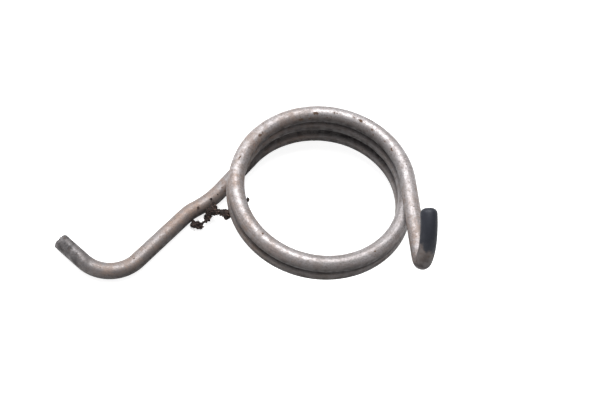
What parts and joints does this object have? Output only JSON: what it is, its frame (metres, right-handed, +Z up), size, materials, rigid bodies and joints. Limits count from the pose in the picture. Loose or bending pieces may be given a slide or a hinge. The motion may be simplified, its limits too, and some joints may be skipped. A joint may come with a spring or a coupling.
{
  "type": "torsion spring",
  "caption": "Torsion spring bent from round steel wire, with a close-wound coil, a long cranked leg with a turned end, and a folded hook at the other end.",
  "frame": {"origin": "on the coil's axis at its top turn, at the level of the floor that the spring lies on", "axes": "+Z up along the coil's axis; the long leg reaches towards -X and lies on the floor; the hook leaves the top turn on the +X side and points along -Y"},
  "size_m": [0.0661, 0.0406, 0.0218],
  "materials": {
    "spring_steel": "worn bare spring steel, satin, with tarnish, rust specks and a blackened hook end",
    "dried_dirt": "matte, fibrous"
  },
  "bodies": {
    "root": {"spring_wire": "spring_steel", "dirt_clump": "dried_dirt"}
  },
  "joints": []
}
